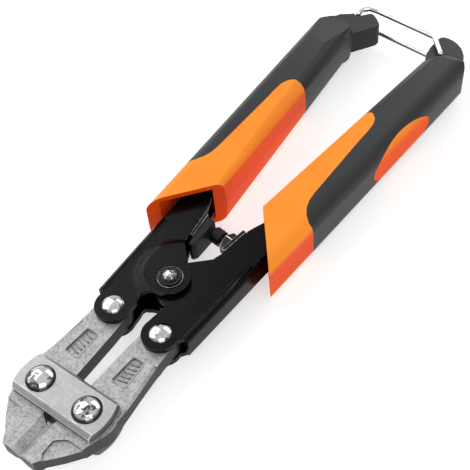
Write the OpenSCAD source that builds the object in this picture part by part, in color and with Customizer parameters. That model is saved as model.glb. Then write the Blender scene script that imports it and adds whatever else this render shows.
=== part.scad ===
// Compact compound-action bolt cutters, closed and latched, lying flat.
// Long axis along Y (jaw nose towards -Y), opening sideways along X, +Z up.
// Local drawing frame: strap pins on y = 0, tool mid plane on z = 0.

/* [Jaws] */
// Thickness of each forged jaw
jaw_t = 5.6; // [5.4:0.1:5.8]
// Strap pin line to the nose
jaw_reach = 20.3; // [19:0.1:21]
// Ground bevel width each side of the cutting line
bevel_w = 2.5; // [1.8:0.1:3]
// Half thickness left at the cutting line
edge_land = 1; // [0.8:0.1:1.4]
// Depth of the label panels
panel_d = 0.6; // [0.2:0.05:0.8]
// Depth of the corner pockets
pocket_d = 0.6; // [0.3:0.05:1]

/* [Straps] */
// Strap plate thickness
strap_t = 3.4; // [3:0.1:3.6]
// Radius of the rounded strap ends
strap_end_r = 16.4; // [16:0.1:17]
// Depth of the bevel along the long edges
strap_bevel = 1.6; // [1:0.1:2]

/* [Levers] */
// Steel gauge of the channel levers
gauge = 1.8; // [1.5:0.1:1.9]
// Radius of the ear round each jaw pin
ear_r = 6; // [5.6:0.1:6]
// Radius of the lobe round the pivot bolt
lobe_r = 6.3; // [6:0.1:6.6]
// Length of lever shank up to its end inside the grip
tang_y = 150; // [140:1:152]

/* [Pins] */
// Pivot bolt shank diameter
pivot_d = 6; // [5.6:0.1:6.2]
// Jaw pin shank diameter
jaw_pin_d = 5; // [4.6:0.1:5.2]
// Strap pin shank diameter
strap_pin_d = 5.9; // [5.4:0.1:6]
// Strap pin head diameter
strap_head_d = 9.3; // [8.6:0.1:9.6]
// Jaw pin head diameter
jaw_head_d = 7.7; // [7:0.1:8]
// Radial running clearance of the moving bores
run = 0.06; // [0.03:0.01:0.09]

/* [Grips] */
// Half thickness of the grips
grip_h = 9.5; // [9.2:0.1:10]
// Wall round the flared front of the shells
mouth_wall = 1.9; // [1.6:0.1:2.4]
// Depth of the flared front of the shells
mouth_d = 7; // [4:0.5:8]
// Rounding of the outer side at the rear
grip_round = 8; // [6:0.5:8.5]
// Wire diameter of the latch
wire_d = 2; // [1.6:0.1:2.2]

/* [Hidden] */
$fn = 48;
eps = 0.01;
gap = 0.05;
zj = jaw_t / 2;
z_in = zj + gap;
z_ear = z_in + gauge;
z_lob = z_ear + 0.1;
z_lob2 = z_lob + gauge;
z_wash = z_lob2 + 0.4;
z_head = z_wash + 1.3;
z_strap = z_in + strap_t;
ax = 9.12;
tx = 9.45;
ty = 32.36;
py = 49.3;
scr_y = 73.6;
plate_tilt = 7.5;
bail_x = 18.7;
bail_y = 187.1;
bail_z = 5;
tong = 3.8;
hook_h = 4.7;
neck_h = 6.5;
end_y = 197.5;
y_mid = (end_y - jaw_reach) / 2;
ramp_in = 10.4;
ramp_out = 14.6;
web_a = 2.6;
web_x = 18;
web_y = 34.8;
steel = [0.72, 0.72, 0.7];
black = [0.07, 0.07, 0.08];
chrome = [0.85, 0.86, 0.88];
orange = [0.95, 0.38, 0.06];
rubber = [0.16, 0.16, 0.17];

module place() {
  translate([0, -y_mid, grip_h]) children();
}

// children drawn on the +X side, moved to the -X side
module left() {
  mirror([1, 0, 0]) children();
}

module both_faces() {
  children();
  mirror([0, 0, 1]) children();
}

// ---------- jaws ----------
module jaw_outline() {
  polygon([[0.02, -jaw_reach], [5.8, -jaw_reach], [7.1, -18.3], [11.3, -13.7],
           [14.6, -9.4], [16.4, -4.4], [17.1, 3], [16.8, 8.5], [15.9, 16.5],
           [14.9, 26], [14.9, 31], [12, 34], [5, 34], [3.85, 31], [3.45, 24],
           [2.95, 8.2], [2.4, 5], [0.9, 1.8], [0.12, -0.5], [0.12, -4.6],
           [2.2, -5.4], [2.6, -7], [0.02, -8.7]]);
  translate([ax, 0]) circle(r = 8.5);
  translate([tx, ty]) circle(r = 5.5);
}

module panel_shape() {
  hull() {
    translate([7.4, 13.2]) circle(r = 0.9, $fn = 24);
    translate([11.2, 13.2]) circle(r = 0.9, $fn = 24);
    translate([10.6, 21.4]) circle(r = 0.9, $fn = 24);
    translate([7.9, 21.4]) circle(r = 0.9, $fn = 24);
  }
}

module pocket_shape() {
  polygon([[19, -9.1], [9.6, -9.1], [8.3, -9.7], [5.9, -11.7],
           [6, -16.4], [7.3, -18], [9, -21], [19, -21]]);
}

module jaw(bore) {
  difference() {
    linear_extrude(height = jaw_t, center = true) intersection() {
      jaw_outline();
      translate([0.02, -30]) square([40, 90]);
    }
    both_faces() {
      translate([0, 0, zj - pocket_d]) linear_extrude(height = 2) pocket_shape();
      translate([0, 0, zj - panel_d]) linear_extrude(height = 2) panel_shape();
      rotate([90, 0, 0]) translate([0, 0, 6.2]) linear_extrude(height = 16)
        polygon([[-1, edge_land - (zj - edge_land) / bevel_w], [bevel_w, zj],
                 [bevel_w, zj + 1], [-1, zj + 1]]);
      // chamfer along the outer edge of the arm
      translate([17.25, 6.5, zj]) rotate([0, 0, 8.3]) rotate([0, 45, 0])
        cube([1.1, 34, 1.1], center = true);
    }
    translate([ax, 0, 0]) cylinder(d = bore, h = jaw_t + 2, center = true);
    translate([tx, ty, 0]) cylinder(d = jaw_pin_d + 2 * run, h = jaw_t + 2, center = true);
  }
}

module left_jaw() {
  color(steel) place() left() jaw(strap_pin_d + 2 * run);
}

module right_jaw() {
  color(steel) place() jaw(strap_pin_d + 0.3);
}

// ---------- straps and pins ----------
module strap() {
  difference() {
    translate([0, 0, z_in]) linear_extrude(height = strap_t) intersection() {
      circle(r = strap_end_r, $fn = 96);
      translate([0, 0.3]) square([40, 13.8], center = true);
    }
    for (s = [-1, 1]) translate([ax * s, 0, 0]) cylinder(d = strap_pin_d + 0.04, h = 30);
    rotate([90, 0, 90]) linear_extrude(height = 60, center = true)
      polygon([[-7, z_strap - strap_bevel], [-6.6, z_strap - strap_bevel],
               [-5.2, z_strap], [-5.2, z_strap + 1], [-7, z_strap + 1]]);
    rotate([90, 0, 90]) linear_extrude(height = 60, center = true)
      polygon([[7.5, z_strap - strap_bevel], [7.2, z_strap - strap_bevel],
               [5.9, z_strap], [5.9, z_strap + 1], [7.5, z_strap + 1]]);
  }
}

module front_strap() {
  color(steel) place() strap();
}

module back_strap() {
  color(steel) place() mirror([0, 0, 1]) strap();
}

// domed head of diameter d standing h proud of level z
module dome(d, z, h) {
  rr = (d * d / 4 + h * h) / (2 * h);
  intersection() {
    translate([0, 0, z + h - rr]) sphere(r = rr, $fn = 64);
    translate([0, 0, z]) cylinder(d = d, h = h + 1);
  }
}

module rivet(d, zc, head, h) {
  cylinder(d = d, h = 2 * zc + 2 * eps, center = true);
  both_faces() dome(head, zc, h);
}

module strap_pins() {
  color(chrome) place() for (s = [-1, 1]) translate([ax * s, 0, 0])
    rivet(strap_pin_d, z_strap, strap_head_d, 2);
}

module left_jaw_pin() {
  color(chrome) place() left() translate([tx, ty, 0]) rivet(jaw_pin_d, z_ear, jaw_head_d, 1.5);
}

module right_jaw_pin() {
  color(chrome) place() translate([tx, ty, 0]) rivet(jaw_pin_d, z_ear, jaw_head_d, 1.5);
}

// ---------- levers ----------
module cheek_outline() {
  translate([tx, ty]) circle(r = ear_r);
  translate([0, py]) circle(r = lobe_r);
  polygon([[tx, ty], [15, 32.6], [16.6, 34.9],
           [16.6 + (tang_y - 34.9) * 0.0454, tang_y], [17.2, tang_y],
           [12.6, 95], [11.5, 86.6], [9.2, 81], [8.5, 79], [6.9, 67], [5.8, 63.4],
           [-4.4, py + 4.5], [0, py], [-0.6, py - 6.25], [1.6, 42.7], [3.2, 41.8],
           [4.3, 40.6], [4.5, 39.2], [4, 37], [3.6, ty + 1]]);
}

module web() {
  translate([web_x, web_y, 0]) rotate([0, 0, -web_a]) {
    len = tang_y - web_y;
    translate([-gauge, 0, -z_ear + 2]) cube([gauge, len, 2 * z_ear - 4]);
    both_faces() difference() {
      translate([-2, 0, z_ear - 2]) rotate([-90, 0, 0]) cylinder(r = 2, h = len);
      translate([-5, -1, 0]) cube([5 - gauge, len + 2, z_ear - gauge]);
    }
  }
}

module lever_holes() {
  translate([tx, ty, 0]) cylinder(d = jaw_pin_d + 0.04, h = 40, center = true);
}

module right_lever() {
  color(black) place() difference() {
    union() {
      both_faces() translate([0, 0, z_in]) linear_extrude(height = gauge) cheek_outline();
      web();
    }
    lever_holes();
    translate([0, py, 0]) cylinder(d = pivot_d + 2 * run, h = 40, center = true);
  }
}

module raised_zone(r) {
  translate([0, 52.5]) circle(r = r, $fn = 96);
}

module left_lever() {
  color(black) place() left() difference() {
    union() {
      both_faces() {
        translate([0, 0, z_in]) linear_extrude(height = gauge) difference() {
          cheek_outline();
          raised_zone(ramp_out - 0.1);
        }
        translate([0, 0, z_lob]) linear_extrude(height = gauge) intersection() {
          cheek_outline();
          raised_zone(ramp_in + 0.1);
        }
        intersection() {
          linear_extrude(height = 12) cheek_outline();
          translate([0, 52.5, 0]) rotate_extrude($fn = 96)
            polygon([[ramp_in, z_lob], [12.2, z_lob - 0.6], [12.9, z_in + 0.6], [ramp_out, z_in],
                     [ramp_out, z_ear], [12.9, z_ear + 0.6], [12.2, z_lob2 - 0.6],
                     [ramp_in, z_lob2]]);
        }
      }
      web();
    }
    lever_holes();
    translate([0, py, 0]) cylinder(d = pivot_d + 0.04, h = 40, center = true);
  }
}

// ---------- pivot ----------
module pivot_bolt() {
  color(black) place() translate([0, py, 0]) {
    translate([0, 0, -z_head]) cylinder(d = pivot_d, h = z_head + z_wash + eps);
    translate([0, 0, z_wash]) cylinder(d = 6.9, h = 0.6);
    translate([0, 0, z_wash]) cylinder(d = 4.8, h = z_head - z_wash, $fn = 6);
  }
}

module pivot_nut() {
  color(black) place() translate([0, py, -z_head]) difference() {
    cylinder(d = 9, h = z_head - z_wash, $fn = 6);
    translate([0, 0, -1]) cylinder(d = pivot_d + 0.04, h = 5);
  }
}

module pivot_washers() {
  color(black) place() translate([0, py, 0]) both_faces() translate([0, 0, z_lob2])
    difference() {
      cylinder(d = 8.2, h = 0.4);
      translate([0, 0, -1]) cylinder(d = pivot_d + 0.04, h = 3);
    }
}

module pivot_bushing() {
  color(steel) place() translate([0, py, 0]) difference() {
    cylinder(d = 9, h = 2 * z_in - 0.1, center = true);
    cylinder(d = pivot_d + 0.04, h = 20, center = true);
  }
}

module return_spring() {
  wire = 1.2;
  mean = 5.3;
  color(steel) place() translate([0, py, 0]) {
    for (i = [-1:1]) translate([0, 0, i * 1.15]) rotate_extrude()
      translate([mean, 0]) circle(d = wire, $fn = 24);
    for (s = [-1, 1]) translate([-s * 2.2, mean * 0.9, s * 1.15]) rotate([0, 0, s * 12])
      rotate([0, s * 90, 0]) cylinder(d = wire, h = s * s * 17.6, $fn = 24);
  }
}

// ---------- closing stop ----------
module stop_plate() {
  color(black) place() left() translate([6.9, 67.6, 0]) rotate([0, 0, -plate_tilt])
    translate([-1.3, 0, -z_ear + 0.15]) cube([1.3, 9.8, 2 * z_ear - 0.3]);
}

module stop_block() {
  color(black) place() left() linear_extrude(height = 8.2, center = true)
    polygon([[3.15, 66], [3.4, 76.7], [6.81, 77.1], [5.54, 67.4], [5.1, 64.4], [3.9, 64.6]]);
}

// children drawn along +X from the outer face of the screw plate
module screw_axis() {
  translate([6, scr_y, 0]) rotate([0, 0, -plate_tilt]) children();
}

module screw_plate() {
  color(black) place() screw_axis() difference() {
    translate([0, -5.2, -z_ear + 0.15]) cube([1.4, 10.2, 2 * z_ear - 0.3]);
    rotate([0, 90, 0]) cylinder(d = 4 + 2 * run, h = 20, center = true);
  }
}

module adjusting_screw() {
  color(black) place() screw_axis() translate([-8.85, 0, 0]) rotate([0, 90, 0]) {
    difference() {
      cylinder(r = 2.9, h = 4.2);
      for (k = [0:15]) rotate([0, 0, k * 22.5]) translate([3.1, 0, 0.5])
        rotate([0, 0, 45]) cube([0.5, 0.5, 6.6], center = true);
    }
    cylinder(d = 4, h = 16);
  }
}

module jam_nut() {
  color(black) place() screw_axis() translate([-3.05, 0, 0]) rotate([0, 90, 0]) difference() {
    cylinder(d = 7.9, h = 3, $fn = 6);
    translate([0, 0, -1]) cylinder(d = 4 + 2 * run, h = 6);
  }
}

// ---------- grips ----------
function x_in(y) = 8.8 + 0.1125 * (y - 87);
function x_out(y) = 25 + 0.058 * (y - 67);

tip_r = 7;
tip_x = 24.5;
tip_y = 179.9;
// rear ends in plan, and half the grip's side view as [y, z]
right_rear = concat([for (a = [0 : 15 : 75]) [tip_x + tip_r * cos(a), tip_y + tip_r * sin(a)]],
                    [[18.9, 178.6], [2, 176]]);
right_side = concat([[50, grip_h]], [for (a = [0 : 15 : 75])
                    [tip_y + tip_r * sin(a), grip_h - tip_r + tip_r * cos(a)]]);
left_rear = [[31.4, 166], [30.8, 174], [30.1, 177.5], [28.8, 180.6], [27, 182.8],
             [24.6, 184.2], [21.6, 184.4], [16, 180.4], [2, 179]];
left_side = [[50, grip_h], [165, grip_h], [182, neck_h], [198, neck_h]];

module station(y, ro) {
  for (s = [-1, 1]) {
    translate([x_in(y) + 1.2, y, s * (grip_h - 1.2)]) rotate([90, 0, 0])
      cylinder(r = 1.2, h = 0.1, $fn = 32);
    translate([x_out(y) - ro, y, s * (grip_h - ro)]) rotate([90, 0, 0])
      cylinder(r = ro, h = 0.1, $fn = 64);
  }
  translate([x_in(y) + 0.4, y, 0]) rotate([90, 0, 0]) cylinder(r = 0.9, h = 0.1, $fn = 16);
}

// grip between its slanted front, the plan outline of its rear end and its side view
module grip_body(rear = right_rear, side = right_side) {
  n = len(side);
  intersection() {
    hull() {
      station(60, 4.6);
      station(196, grip_round);
    }
    linear_extrude(height = 30, center = true)
      polygon(concat([[2, 95.3], [30, 61.1], [40, 61.1], [40, 165]], rear));
    rotate([90, 0, 90]) linear_extrude(height = 40)
      polygon(concat([for (p = side) [p[0], -p[1]]], [for (i = [n - 1 : -1 : 0]) side[i]]));
  }
}

module sleeve_zone() {
  linear_extrude(height = 30, center = true)
    polygon([[40, 90], [24.6, 90], [22.6, 91.7], [21, 94.2], [20, 97.4], [19.7, 101],
             [19.6, 115], [19.4, 129], [19.5, 134], [19.3, 138], [18.3, 140.8],
             [16.6, 142.4], [14.4, 143], [0, 143], [0, 210], [40, 210]]);
}

module core_zone() {
  linear_extrude(height = 2 * z_ear + 3.1, center = true)
    polygon([[10.2, 86], [20, 74], [21.4, 74], [24.9, 152.6], [17.8, 152.6],
             [16.8, 143.1], [10.2, 95]]);
}

module lever_cavity() {
  linear_extrude(height = 2 * z_ear, center = true)
    polygon([[11.3, 60], [11.3, 86], [17.1, 150.2], [23.45, 150.2], [19, 52]]);
}

module inset_zone() {
  translate([25, 141.6, 0]) rotate([0, 90, 0]) linear_extrude(height = 10)
    scale([0.42, 1]) circle(r = 17.2, $fn = 64);
}

// flared mouth of the shell, in front of its hold on the lever
module mouth() {
  linear_extrude(height = 2 * (grip_h - mouth_wall), center = true) intersection() {
    polygon([[x_in(60) + mouth_wall, 60], [x_out(60) - 3.2, 60],
             [x_out(110) - 3.2, 110], [x_in(110) + mouth_wall, 110]]);
    translate([2, 95.3]) rotate([0, 0, -50.7]) translate([-10, -6])
      square([70, 6 + mouth_d]);
  }
}

module grip_shell() {
  difference() {
    union() {
      difference() {
        grip_body();
        sleeve_zone();
      }
      intersection() {
        grip_body();
        core_zone();
      }
    }
    lever_cavity();
    mouth();
  }
}

module tongue_right() {
  polygon([[20, 174], [18.9, 177.5], [16.6, 179.6], [15, 182.4], [13.9, 185.6], [13.4, 189],
           [13.4, 194.6], [13.8, 196.2], [14.8, 197.2], [16.7, end_y], [18.8, 197.2],
           [20.8, 196.5], [23.6, 194.7], [26, 191.8], [27.4, 189], [28.2, 186],
           [28, 180], [24, 176]]);
}

module tongue_left() {
  polygon([[20, 174], [18.6, 176.6], [15.6, 179.6], [13.2, 183.1], [9.7, 188.4],
           [9.5, 190.3], [12.2, 192.6], [14, 193.7], [15, 194], [15.7, 193.7],
           [18.4, 190.6], [18.8, 190.2], [20.4, 190.2], [21.3, 190.6], [22.4, 189.6],
           [25.4, 187.6], [27, 185], [28, 180], [24, 176]]);
}

// thick neck between the left grip and its hook
module neck_left() {
  polygon([[22, 164], [17.5, 165], [17.6, 170], [16.7, 172.8], [15.5, 175], [15.2, 177.6],
           [16, 180.4], [21.6, 184.4], [26, 183]]);
}

module grip_sleeve(rear, side) {
  difference() {
    union() {
      intersection() {
        grip_body(rear, side);
        sleeve_zone();
      }
      children();
    }
    core_zone();
    inset_zone();
    lever_cavity();
  }
}

module left_grip_shell() {
  color(orange) place() left() grip_shell();
}

module right_grip_shell() {
  color(orange) place() grip_shell();
}

module left_grip_sleeve() {
  color(rubber) place() left() grip_sleeve(left_rear, left_side) {
    linear_extrude(height = 2 * neck_h - 0.2, center = true) neck_left();
    linear_extrude(height = 2 * hook_h, center = true) tongue_left();
  }
}

module right_grip_sleeve() {
  color(rubber) place() difference() {
    grip_sleeve(right_rear, right_side)
      linear_extrude(height = 2 * tong, center = true) tongue_right();
    translate([bail_x, bail_y, 0]) cylinder(d = wire_d + 2 * run, h = 30, center = true);
  }
}

module left_grip_inset() {
  color(orange) place() left() intersection() {
    grip_body();
    inset_zone();
  }
}

module right_grip_inset() {
  color(orange) place() intersection() {
    grip_body();
    inset_zone();
  }
}

// ---------- latch ----------
// wire run between two points of the plan, at the height of the leg
module wire_run(a, b) {
  d = [b[0] - a[0], b[1] - a[1]];
  translate([a[0], a[1], 0]) {
    elbow();
    rotate([0, 0, atan2(d[1], d[0])]) rotate([0, 90, 0])
      cylinder(d = wire_d, h = norm(d), $fn = 32);
  }
}

// bend of the wire, a touch fuller than the straight runs
module elbow() {
  cylinder(d = wire_d * 1.06, h = wire_d * 1.06, center = true, $fn = 32);
}

module latch_bail() {
  path = [[-19.6, 191.4], [-19.3, 193.9], [-17.2, 195.9], [-13.5, 196.1],
          [12.4, 194], [bail_x, bail_y]];
  color(chrome) place() {
    both_faces() translate([0, 0, bail_z]) {
      for (i = [0:4]) wire_run(path[i], path[i + 1]);
      translate([bail_x, bail_y, 0]) elbow();
      translate([bail_x, bail_y, -3.4]) cylinder(d = wire_d, h = 3.4, $fn = 32);
    }
    translate([path[0][0], path[0][1], 0])
      cylinder(d = wire_d, h = 2 * bail_z, center = true, $fn = 32);
  }
}

left_jaw();
right_jaw();
front_strap();
back_strap();
strap_pins();
left_lever();
right_lever();
left_jaw_pin();
right_jaw_pin();
pivot_bolt();
pivot_nut();
pivot_washers();
pivot_bushing();
return_spring();
stop_plate();
stop_block();
screw_plate();
adjusting_screw();
jam_nut();
left_grip_shell();
left_grip_sleeve();
left_grip_inset();
right_grip_shell();
right_grip_sleeve();
right_grip_inset();
latch_bail();
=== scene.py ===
"""Looks of the compact bolt cutters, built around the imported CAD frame."""

import math

import bmesh
import bpy
from mathutils import Matrix, Vector


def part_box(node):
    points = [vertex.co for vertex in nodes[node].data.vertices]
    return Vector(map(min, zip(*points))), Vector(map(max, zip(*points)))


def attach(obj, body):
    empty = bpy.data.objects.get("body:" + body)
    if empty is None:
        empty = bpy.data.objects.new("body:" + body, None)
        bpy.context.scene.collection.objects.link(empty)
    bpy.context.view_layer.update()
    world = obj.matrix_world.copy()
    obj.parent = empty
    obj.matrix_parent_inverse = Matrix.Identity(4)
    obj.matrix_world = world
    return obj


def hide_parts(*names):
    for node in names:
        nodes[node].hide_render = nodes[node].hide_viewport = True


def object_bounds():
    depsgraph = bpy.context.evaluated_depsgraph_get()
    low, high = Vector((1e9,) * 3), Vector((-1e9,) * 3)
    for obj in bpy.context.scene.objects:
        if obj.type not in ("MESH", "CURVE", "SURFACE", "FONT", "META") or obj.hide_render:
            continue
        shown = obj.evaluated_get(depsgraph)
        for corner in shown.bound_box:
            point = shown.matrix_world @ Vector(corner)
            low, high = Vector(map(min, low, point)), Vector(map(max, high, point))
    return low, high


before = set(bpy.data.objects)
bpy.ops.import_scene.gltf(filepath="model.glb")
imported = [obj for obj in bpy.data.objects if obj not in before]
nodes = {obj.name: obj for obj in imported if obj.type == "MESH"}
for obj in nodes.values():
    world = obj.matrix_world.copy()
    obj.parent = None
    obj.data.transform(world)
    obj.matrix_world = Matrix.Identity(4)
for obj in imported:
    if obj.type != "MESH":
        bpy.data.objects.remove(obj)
cad_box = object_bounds()
MM = 0.001
MID_Z = 0.0095  # mid plane of the tool, above the surface it rests on, in metres


# ------------------------------------------------------------------ materials
def new_material(name):
    mat = bpy.data.materials.new(name)
    mat.use_nodes = True
    tree = mat.node_tree
    return mat, tree, tree.nodes["Principled BSDF"]


def link(tree, a, b):
    tree.links.new(a, b)


def noise(tree, scale, detail=4.0, rough=0.55, vector=None):
    node = tree.nodes.new("ShaderNodeTexNoise")
    node.inputs["Scale"].default_value = scale
    node.inputs["Detail"].default_value = detail
    node.inputs["Roughness"].default_value = rough
    link(tree, vector or coords(tree), node.inputs["Vector"])
    return node.outputs["Fac"]


def coords(tree, stretch=None, turn=0.0):
    src = tree.nodes.get("coords") or tree.nodes.new("ShaderNodeTexCoord")
    src.name = "coords"
    if stretch is None:
        return src.outputs["Object"]
    mapping = tree.nodes.new("ShaderNodeMapping")
    mapping.inputs["Scale"].default_value = stretch
    mapping.inputs["Rotation"].default_value = (0, 0, turn)
    link(tree, src.outputs["Object"], mapping.inputs["Vector"])
    return mapping.outputs["Vector"]


def ramp(tree, fac, stops):
    node = tree.nodes.new("ShaderNodeValToRGB")
    first, last = node.color_ramp.elements
    first.position, first.color = stops[0][0], (*stops[0][1], 1)
    last.position, last.color = stops[-1][0], (*stops[-1][1], 1)
    for at, colour in stops[1:-1]:
        node.color_ramp.elements.new(at).color = (*colour, 1)
    link(tree, fac, node.inputs["Fac"])
    return node.outputs["Color"]


def spread(tree, fac, low, high, start=0.0, end=1.0):
    node = tree.nodes.new("ShaderNodeMapRange")
    for key, value in zip(("From Min", "From Max", "To Min", "To Max"), (start, end, low, high)):
        node.inputs[key].default_value = value
    link(tree, fac, node.inputs["Value"])
    return node.outputs["Result"]


def bump(tree, bsdf, heights):
    """Stacks height fields of (field, depth in metres)."""
    normal = None
    for field, depth in heights:
        node = tree.nodes.new("ShaderNodeBump")
        node.inputs["Strength"].default_value = 1.0
        node.inputs["Distance"].default_value = depth
        link(tree, field, node.inputs["Height"])
        if normal:
            link(tree, normal, node.inputs["Normal"])
        normal = node.outputs["Normal"]
    link(tree, normal, bsdf.inputs["Normal"])


def mix_colour(tree, fac, a, b):
    """Colour a where fac is 0 and b where it is 1. Each may be a socket or an RGB tuple."""
    node = tree.nodes.new("ShaderNodeMix")
    node.data_type = "RGBA"
    for socket, value in zip((node.inputs[6], node.inputs[7]), (a, b)):
        if isinstance(value, tuple):
            socket.default_value = (*value, 1)
        else:
            link(tree, value, socket)
    link(tree, fac, node.inputs[0])
    return node.outputs[2]


def painted_side_shade(tree, start, end):
    """Mask for painted shade: 0 on the tool's side walls, 1 on its broad faces, from the surface
    normal's height.
    """
    geometry = tree.nodes.new("ShaderNodeNewGeometry")
    split = tree.nodes.new("ShaderNodeSeparateXYZ")
    link(tree, geometry.outputs["Normal"], split.inputs["Vector"])
    flat = tree.nodes.new("ShaderNodeMath")
    flat.operation = "ABSOLUTE"
    link(tree, split.outputs["Z"], flat.inputs[0])
    return spread(tree, flat.outputs["Value"], 0.0, 1.0, start, end)


def steel(name, light, dark, roughness, grain, grain_depth, brushed=None, fleck=0.6, wall=0.3):
    """Bare steel: sand grain, cloudy tone, dark flecks and painted shade darkening the walls."""
    mat, tree, bsdf = new_material(name)
    bsdf.inputs["Metallic"].default_value = 1.0
    fine = noise(tree, grain, 8.0, 0.75)
    cloud = noise(tree, 320, 6.0, 0.7)
    pits = spread(tree, noise(tree, grain * 0.8, 8.0, 0.85), 0.0, fleck, 0.47, 0.64)
    base = ramp(tree, cloud, [(0.3, dark), (0.7, light)])
    base = mix_colour(tree, pits, base, tuple(v * 0.35 for v in dark))
    if brushed:
        lines = noise(tree, 1.0, 4.0, 0.7, coords(tree, *brushed))
        base = mix_colour(tree, spread(tree, lines, 0.0, 0.55, 0.5, 0.75), base,
                          tuple(v * 0.4 for v in dark))
    # painted shade: side walls darkened to a fraction of the dark tone
    base = mix_colour(tree, painted_side_shade(tree, 0.3, 0.7), tuple(v * wall for v in dark), base)
    link(tree, base, bsdf.inputs["Base Color"])
    link(tree, spread(tree, fine, roughness - 0.08, roughness + 0.12, 0.3, 0.7),
         bsdf.inputs["Roughness"])
    layers = [(fine, grain_depth), (cloud, 0.00006)]
    if brushed:
        layers.append((lines, 0.00002))
    bump(tree, bsdf, layers)
    return mat


def chrome(name, tone=0.9, rim=(0.78, 0.88), painted_reflection_amount=0.9):
    """Polished steel with faint smears and fine pits, painted dark reflection patches and painted
    shade round the rim.
    """
    mat, tree, bsdf = new_material(name)
    bsdf.inputs["Metallic"].default_value = 1.0
    smear = noise(tree, 260, 4.0, 0.6)
    bright = (tone, tone, tone)
    # painted reflection: dark patches standing in for reflected dark surroundings
    painted_dark_reflection = spread(tree, noise(tree, 380, 3.0, 0.6), 0.0, painted_reflection_amount, 0.53, 0.58)
    tone_map = ramp(tree, smear, [(0.3, tuple(v * 0.8 for v in bright)), (0.65, bright)])
    tone_map = mix_colour(tree, painted_dark_reflection, tone_map, tuple(v * 0.08 for v in bright))
    # painted shade: dark band round the rim, where the surface turns from facing up
    link(tree, mix_colour(tree, painted_side_shade(tree, *rim), tuple(v * 0.05 for v in bright), tone_map),
         bsdf.inputs["Base Color"])
    link(tree, spread(tree, smear, 0.04, 0.13, 0.35, 0.7), bsdf.inputs["Roughness"])
    bump(tree, bsdf, [(noise(tree, 330, 2.0), 0.00004), (noise(tree, 2600, 2.0), 0.000004)])
    return mat


def paint(name, colour, roughness, peel=0.00002, gloss=0.25):
    """Gloss black enamel with orange peel and dust specks."""
    mat, tree, bsdf = new_material(name)
    bsdf.inputs["Specular IOR Level"].default_value = gloss
    orange_peel = noise(tree, 900, 4.0, 0.6)
    cloud = noise(tree, 120, 4.0)
    dust = spread(tree, noise(tree, 3600, 3.0, 0.7), 0.0, 0.35, 0.62, 0.74)
    base = ramp(tree, cloud, [(0.35, colour), (0.7, tuple(v * 1.8 for v in colour))])
    base = mix_colour(tree, dust, base, (0.06, 0.06, 0.065))
    link(tree, base, bsdf.inputs["Base Color"])
    link(tree, spread(tree, orange_peel, roughness - 0.06, roughness + 0.1, 0.3, 0.7),
         bsdf.inputs["Roughness"])
    bump(tree, bsdf, [(orange_peel, peel), (noise(tree, 70, 2.0), 0.0001)])
    return mat


def edge_wear_and_highlight(name, low, high, roughness):
    """Edge where handling has worn the finish to bare metal in patches, with a painted highlight
    making it a little brighter.
    """
    mat, tree, bsdf = new_material(name)
    patches = noise(tree, 420, 5.0, 0.7)
    link(tree, ramp(tree, patches, [(0.42, low), (0.62, high)]), bsdf.inputs["Base Color"])
    link(tree, spread(tree, patches, 0.0, 0.9, 0.42, 0.62), bsdf.inputs["Metallic"])
    link(tree, spread(tree, patches, roughness + 0.1, roughness, 0.4, 0.65),
         bsdf.inputs["Roughness"])
    bump(tree, bsdf, [(noise(tree, 1500, 4.0, 0.7), 0.00002)])
    return mat


def moulded(name, face, side, roughness, grain, depth, gloss=0.5, turn=(0.35, 0.9)):
    """Moulded grip stock with painted light and shade: a lit tone on the broad faces, a deeper
    shaded one round the sides.
    """
    mat, tree, bsdf = new_material(name)
    bsdf.inputs["Specular IOR Level"].default_value = gloss
    texture = noise(tree, grain, 5.0, 0.65)
    cloud = noise(tree, 60, 4.0)
    # painted light and shade: face colour on the broad faces, deeper side colour round the sides
    lit_and_shaded_tone = mix_colour(tree, painted_side_shade(tree, *turn), side, face)
    mottled = mix_colour(tree, spread(tree, cloud, 0.0, 0.12, 0.4, 0.7), lit_and_shaded_tone,
                         tuple(v * 0.5 for v in side))
    link(tree, mottled, bsdf.inputs["Base Color"])
    link(tree, spread(tree, texture, roughness - 0.07, roughness + 0.1, 0.3, 0.7),
         bsdf.inputs["Roughness"])
    bump(tree, bsdf, [(texture, depth), (noise(tree, 70, 2.0), 0.0001)])
    return mat


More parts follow.
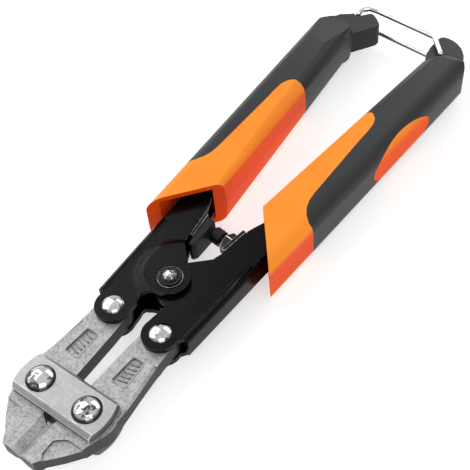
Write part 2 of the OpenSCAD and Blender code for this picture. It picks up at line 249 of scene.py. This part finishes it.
M = {
    # the wall figure sets how dark the painted shade on the steel side walls is
    "forged": steel("forged_steel", (0.60, 0.60, 0.59), (0.40, 0.40, 0.395), 0.45, 1300, 0.00026,
                    fleck=0.85, wall=0.14),
    "strap": steel("strap_steel", (0.50, 0.50, 0.49), (0.40, 0.40, 0.395), 0.38, 1900, 0.00008,
                   brushed=((140, 2600, 300), math.radians(-8)), fleck=0.2),
    # pins and wire: painted dark reflections and painted shade round the rim
    "chrome": chrome("polished_pins"),
    "wire": chrome("bright_wire", 0.95, rim=(0.1, 0.5), painted_reflection_amount=0.15),
    "plain": steel("plain_steel", (0.30, 0.30, 0.30), (0.2, 0.2, 0.2), 0.35, 1200, 0.00004),
    "lever": paint("black_lever", (0.0008, 0.0008, 0.0010), 0.22, gloss=0.14),
    "hardware": paint("black_hardware", (0.0015, 0.0015, 0.0017), 0.26, gloss=0.25),
    # each moulded stock: first colour is the painted lit tone of the broad faces, second the
    # painted shade of the sides
    "seam": moulded("shell_seam", (0.98, 0.50, 0.22), (0.98, 0.42, 0.15), 0.4, 1500, 0.00001),
    "buffer": moulded("stop_rubber", (0.008, 0.008, 0.008), (0.006, 0.006, 0.006), 0.5, 900,
                      0.00003, gloss=0.3),
    "orange": moulded("orange_shell", (0.95, 0.29, 0.03), (0.84, 0.07, 0.002), 0.42, 1800,
                      0.00001, gloss=0.1, turn=(0.0, 0.42)),
    "sleeve": moulded("black_sleeve", (0.020, 0.0205, 0.023), (0.0015, 0.0015, 0.002), 0.38, 2400,
                      0.00008, gloss=0.36, turn=(0.1, 0.8)),
    "inset": moulded("orange_inset", (0.95, 0.29, 0.03), (0.86, 0.085, 0.003), 0.5, 2000,
                     0.00002, gloss=0.1, turn=(0.05, 0.6)),
    # softened-edge materials: worn metal patches plus a painted highlight along the edges
    "steel_edge": edge_wear_and_highlight("steel_edge_wear_and_highlight", (0.42, 0.42, 0.42), (0.72, 0.72, 0.72), 0.25),
    "black_edge": edge_wear_and_highlight("black_edge_wear_and_highlight", (0.16, 0.16, 0.16), (0.85, 0.85, 0.85), 0.3),
}
# material of the softened edges: worn patches and a painted highlight
EDGE = {"forged": "steel_edge", "strap": "steel_edge", "lever": "black_edge",
        "hardware": "black_edge"}

# CAD node: (material, width of its softened edges in millimetres)
LOOK = {
    "left_jaw": ("forged", 0.22), "right_jaw": ("forged", 0.22),
    "front_strap": ("strap", 0.25), "back_strap": ("strap", 0.25),
    "strap_pins": ("chrome", 0.15), "left_jaw_pin": ("chrome", 0.15),
    "right_jaw_pin": ("chrome", 0.15),
    "left_lever": ("lever", 0.4), "right_lever": ("lever", 0.4),
    "pivot_bolt": ("hardware", 0.2), "pivot_nut": ("hardware", 0.15),
    "pivot_washers": ("hardware", 0.1), "pivot_bushing": ("plain", 0.2),
    "return_spring": ("plain", 0.0), "stop_plate": ("hardware", 0.15),
    "stop_block": ("buffer", 0.3), "screw_plate": ("hardware", 0.15),
    "adjusting_screw": ("hardware", 0.1), "jam_nut": ("hardware", 0.2),
    "left_grip_shell": ("orange", 0.35), "right_grip_shell": ("orange", 0.35),
    "left_grip_sleeve": ("sleeve", 0.4), "right_grip_sleeve": ("sleeve", 0.4),
    "left_grip_inset": ("inset", 0.3), "right_grip_inset": ("inset", 0.3),
    "latch_bail": ("wire", 0.0),
}


WELD_GAP = 0.000004  # metres
COPLANAR = math.radians(0.8)
SHARP = math.radians(28)


def dress(name):
    """Gives a CAD node its material, softened edges and clean shading."""
    obj = nodes[name]
    look, edge = LOOK[name]
    obj.data.materials.clear()
    obj.data.materials.append(M[look])
    if look in EDGE:
        obj.data.materials.append(M[EDGE[look]])
    for face in obj.data.polygons:
        face.use_smooth = True
        face.material_index = 0
    weld = obj.modifiers.new("weld", "WELD")
    weld.merge_threshold = WELD_GAP
    if edge:
        planar = obj.modifiers.new("planar", "DECIMATE")
        planar.decimate_type = "DISSOLVE"
        planar.angle_limit = COPLANAR
        soft = obj.modifiers.new("soft", "BEVEL")
        soft.width = edge * MM
        soft.segments = 3
        soft.limit_method = "ANGLE"
        soft.angle_limit = SHARP
        soft.material = 1 if look in EDGE else -1
        soft.miter_outer = "MITER_ARC"
    normals = obj.modifiers.new("normals", "WEIGHTED_NORMAL")
    normals.keep_sharp = True


for node_name in LOOK:
    dress(node_name)


# ------------------------------------------------------------------ pieces
# millimetres from the strap pin line and the mid plane
STRAP_PIN_LINE = 88.6  # distance of that line in front of the frame's origin
PIVOT_Y = 49.3
JAW_Z = 2.8  # half thickness of a jaw
CHEEK_Z = 4.65  # outer face of the lever cheeks
CHEEK_X, CHEEK_Y = 18.0, 34.8  # outer front corner of a lever cheek
CHEEK_LEAN = math.tan(math.radians(2.6))
# line of the mould seam; the shell's inner side bulges 0.2 to 2.3 mm past it, so it is covered
SEAM_X, SEAM_Y = 8.33, 87
SEAM_SLOPE = 0.1125


def at(x, y, z=0.0):
    """A point given from the strap pin line and the mid plane in millimetres, in the row frame."""
    return Vector((x, y - STRAP_PIN_LINE, z)) * MM + Vector((0, 0, MID_Z))


def rounded(points, radii, closed=False, steps=6):
    """The polyline with each corner turned on an arc of about that radius."""
    path = []
    count = len(points)
    for i, point in enumerate(points):
        if not closed and i in (0, count - 1):
            path.append(point.copy())
            continue
        before = (points[i - 1] - point).normalized()
        after = (points[(i + 1) % count] - point).normalized()
        reach = radii[i] * MM / math.tan(before.angle(after) / 2)
        start, end = point + before * reach, point + after * reach
        for k in range(steps + 1):
            t = k / steps
            path.append((1 - t) ** 2 * start + 2 * t * (1 - t) * point + t * t * end)
    return path


def angles(sides, offset=0.0):
    """Angles of a ring's points in radians; offset is in steps."""
    return [math.tau * (k + offset) / sides for k in range(sides)]


def skin(bm, a, b):
    """Joins two rings of points with quads."""
    for k in range(len(a)):
        n = (k + 1) % len(a)
        bm.faces.new((a[k], a[n], b[n], b[k]))


def cap_ends(bm, rings):
    bm.faces.new(rings[0][::-1])
    bm.faces.new(rings[-1])


def sweep(bm, path, radius, closed=False, sides=14, flat=1.0, lift=None):
    """Adds a round bar along the path; lift is the direction in which flat squashes it."""
    count = len(path)
    tangent = (path[1] - path[0]).normalized()
    side = tangent.orthogonal().normalized() if lift is None else tangent.cross(lift).normalized()
    rings = []
    for i, point in enumerate(path):
        ahead = path[(i + 1) % count] if closed else path[min(i + 1, count - 1)]
        behind = path[i - 1] if closed else path[max(i - 1, 0)]
        tangent = (ahead - behind).normalized()
        side = (side - tangent * side.dot(tangent)).normalized()
        if lift is not None:
            side = tangent.cross(lift).normalized()
        other = side.cross(tangent)
        rings.append([bm.verts.new(point + radius * (side * math.cos(a)
                                                     + other * flat * math.sin(a)))
                      for a in angles(sides)])
    for i in range(count if closed else count - 1):
        skin(bm, rings[i], rings[(i + 1) % count])
    if not closed:
        cap_ends(bm, rings)


def piece(name, bm, look, body):
    """Turns the mesh into a shaded piece that rides on a CAD body."""
    bmesh.ops.recalc_face_normals(bm, faces=bm.faces)
    mesh = bpy.data.meshes.new(name)
    bm.to_mesh(mesh)
    bm.free()
    for face in mesh.polygons:
        face.use_smooth = True
    mesh.materials.append(M[look])
    obj = bpy.data.objects.new(name, mesh)
    bpy.context.scene.collection.objects.link(obj)
    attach(obj, body)
    return obj


def make_bail():
    """One bent wire: up out of the right grip, round the hook, and back in underneath."""
    leg_z, hole_z = 5.0, 1.4
    plan = [(18.7, 187.1, 0.9), (12.4, 194.0, 1.6), (-13.5, 196.1, 2.2), (-17.2, 195.9, 1.4),
            (-19.3, 193.9, 1.2), (-19.6, 191.4, 1.0)]
    top = [at(x, y, leg_z) for x, y, _ in plan]
    under = [at(x, y, -leg_z) for x, y, _ in reversed(plan)]
    bends = [r for _, _, r in plan]
    points = [at(plan[0][0], plan[0][1], hole_z)] + top + under
    points.append(at(plan[0][0], plan[0][1], -hole_z))
    bm = bmesh.new()
    sweep(bm, rounded(points, [0] + bends + bends[::-1] + [0]), 1.0 * MM, sides=20)
    bail = piece("latch_wire", bm, "wire", "latch_bail")
    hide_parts("latch_bail")


def make_screw():
    """Adjusting screw with a diamond-knurled head and a rolled thread."""
    head_r, head_len, shank_r, length, pitch = 2.85, 4.2, 1.94, 16.0, 0.8
    tilt = math.radians(7.5)
    start = at(6.0 - 8.85 * math.cos(tilt), 73.6 + 8.85 * math.sin(tilt))
    along = Vector((math.cos(tilt), -math.sin(tilt), 0))
    side, up_axis = Vector((-along.y, along.x, 0)), Vector((0, 0, 1))
    knurls, sides = 18, 108

    def radius(x, angle):
        if x <= head_len:
            chamfer = min(0.0, x - 0.5, head_len - 0.35 - x)
            cross = [abs((angle * knurls / math.tau + s * x * 1.15) % 1.0 - 0.5) for s in (1, -1)]
            return head_r - 0.55 * min(cross) * (1 if chamfer == 0 else 0.3) + chamfer * 0.9
        turn = (x / pitch - angle / math.tau) % 1.0
        return shank_r - 0.42 * abs(turn - 0.5) * min(1.0, (x - head_len) * 2)

    stations = [head_len * k / 40 for k in range(41)] + [head_len + 0.02]
    stations += [head_len + 0.02 + (length - head_len) * k / 110 for k in range(1, 111)]
    bm = bmesh.new()
    rings = []
    for x in stations:
        rings.append([bm.verts.new(start + (along * x + (side * math.cos(a) + up_axis * math.sin(a))
                                            * radius(x, a)) * MM)
                      for a in angles(sides)])
    for a, b in zip(rings, rings[1:]):
        skin(bm, a, b)
    cap_ends(bm, rings)
    screw = piece("knurled_screw", bm, "hardware", "adjusting_screw")
    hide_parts("adjusting_screw")


def make_panel(hand, side):
    """Raised rim and plain slanted ribs in a jaw's label panel, on both faces."""
    rim = [(6.6, 12.3), (12.1, 12.3), (11.45, 22.3), (7.1, 22.3)]
    bm = bmesh.new()
    for face in (1, -1):
        lift = Vector((0, 0, face))
        corners = [at(hand * x, y, face * (JAW_Z - 0.02)) for x, y in rim]
        sweep(bm, rounded(corners, [1.0] * 4, closed=True), 0.22 * MM, closed=True, sides=10,
              flat=0.8, lift=lift)
        for k in range(5):
            y = 14.2 + 1.55 * k
            ends = [at(hand * 7.9, y - 0.35, face * (JAW_Z - 0.5)),
                    at(hand * (10.9 - 0.06 * k), y + 0.35, face * (JAW_Z - 0.5))]
            sweep(bm, ends, 0.3 * MM, sides=10, lift=lift)
    piece(side + "_panel_relief", bm, "forged", side + "_jaw")


def make_parting_line(hand, side):
    """Moulding seam along a grip shell; it lies inside the wall and doesn't show."""
    start, end = 87.5, 142.5
    bm = bmesh.new()
    inner = [at(hand * (SEAM_X + SEAM_SLOPE * (y - SEAM_Y)), y)
             for y in (start, (start + end) / 2, end)]
    sweep(bm, inner, 0.26 * MM, sides=8)
    piece(side + "_shell_seam", bm, "seam", side + "_lever")


def make_fold_ridge(hand, side):
    """Bead and fine line that the bending die leaves along the outer fold, on both faces."""
    bm = bmesh.new()
    for face in (1, -1):
        for inset, depth, radius, sides, stations in (
                (1.75, 0.2, 0.55, 12, (35.2, 36.0, 52.0, 68.0)),
                (3.0, 0.02, 0.16, 8, (36.0, 68.0))):
            line = [at(hand * (CHEEK_X - inset + CHEEK_LEAN * (y - CHEEK_Y)), y,
                       face * (CHEEK_Z - depth)) for y in stations]
            sweep(bm, line, radius * MM, sides=sides, lift=Vector((0, 0, face)))
    piece(side + "_fold_ridge", bm, "hardware", side + "_lever")


def make_pivot_button():
    """Polished button with broad facets, peened into the ring of the pivot bolt."""
    foot_r, crown_r, height, sunk, facets = 2.35, 1.25, 0.95, 0.3, 6
    base_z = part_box("pivot_bolt")[1][2] / MM - MID_Z / MM - sunk
    bm = bmesh.new()
    rings = []
    for r, z in ((foot_r, 0.0), (foot_r, 0.25), (crown_r, height), (0.35, height + 0.05)):
        rings.append([bm.verts.new(at(r * math.cos(a), PIVOT_Y + r * math.sin(a), base_z + z))
                      for a in angles(facets, 0.5)])
    for a, b in zip(rings, rings[1:]):
        skin(bm, a, b)
    cap_ends(bm, rings)
    button = piece("pivot_button", bm, "chrome", "left_lever")
    for face in button.data.polygons:
        face.use_smooth = False
    rounded_edge = button.modifiers.new("soft", "BEVEL")
    rounded_edge.width = 0.12 * MM
    rounded_edge.segments = 2


make_bail()
make_screw()
make_pivot_button()
for hand, side in ((-1, "left"), (1, "right")):
    make_panel(hand, side)
    make_fold_ridge(hand, side)
    make_parting_line(hand, side)

# ------------------------------------------------------------------ stage
low, high = (Vector(corner) for corner in cad_box)
centre = (low + high) / 2


def make_floor():
    """Pale floor that gives off a little light, which keeps the shadows soft."""
    half_size, gap = 4.0, 0.0004
    mesh = bpy.data.meshes.new("floor")
    bm = bmesh.new()
    bmesh.ops.create_grid(bm, x_segments=8, y_segments=8, size=half_size)
    bm.to_mesh(mesh)
    bm.free()
    floor = bpy.data.objects.new("floor", mesh)
    floor.location.z = low.z - gap
    bpy.context.scene.collection.objects.link(floor)
    mat, tree, bsdf = new_material("floor")
    tint = ramp(tree, noise(tree, 3.0, 2.0), [(0.3, (0.58, 0.58, 0.58)), (0.7, (0.62, 0.62, 0.62))])
    link(tree, tint, bsdf.inputs["Base Color"])
    bsdf.inputs["Roughness"].default_value = 0.7
    bsdf.inputs["Emission Color"].default_value = (1, 1, 1, 1)
    bsdf.inputs["Emission Strength"].default_value = 0.55
    mesh.materials.append(mat)


def area_light(name, place, size, power):
    """Soft box of that width, height and power in watts, aimed at the tool."""
    data = bpy.data.lights.new(name, "AREA")
    data.shape = "RECTANGLE"
    data.size, data.size_y = size
    data.energy = power
    obj = bpy.data.objects.new(name, data)
    obj.location = Vector(place)
    obj.rotation_euler = (centre - obj.location).to_track_quat("-Z", "Y").to_euler()
    bpy.context.scene.collection.objects.link(obj)


make_floor()
area_light("key_box", (-0.75, -0.05, 0.62), (1.1, 0.9), 5.0)
area_light("rear_box", (-0.02, 0.85, 0.55), (0.8, 0.4), 2.2)
area_light("fill_box", (0.5, -0.5, 0.85), (0.7, 0.7), 3.0)

world = bpy.data.worlds.new("studio")
world.use_nodes = True
world.node_tree.nodes["Background"].inputs["Color"].default_value = (1, 1, 1, 1)
world.node_tree.nodes["Background"].inputs["Strength"].default_value = 0.6
bpy.context.scene.world = world
bpy.context.scene.view_settings.view_transform = "Standard"

# ------------------------------------------------------------------ camera
CAMERA_AT = Vector((134.6, -160.1, 254.9)) * MM
VIEW_DIRECTION = Vector((-0.4155, 0.4734, -0.7767))
IMAGE_RIGHT = Vector((0.8031, 0.5918, -0.0689))
IMAGE_SIDE = 470  # pixels
FOCAL_PX = 959.0

camera = bpy.data.cameras.new("camera")
camera.sensor_width = 36.0
camera.lens = FOCAL_PX / IMAGE_SIDE * camera.sensor_width
camera.clip_start = 0.01
camera_obj = bpy.data.objects.new("camera", camera)
back = -VIEW_DIRECTION.normalized()
up = back.cross(IMAGE_RIGHT).normalized()
turned = Matrix((up.cross(back), up, back)).transposed().to_4x4()
camera_obj.matrix_world = Matrix.Translation(CAMERA_AT) @ turned
bpy.context.scene.collection.objects.link(camera_obj)
bpy.context.scene.camera = camera_obj
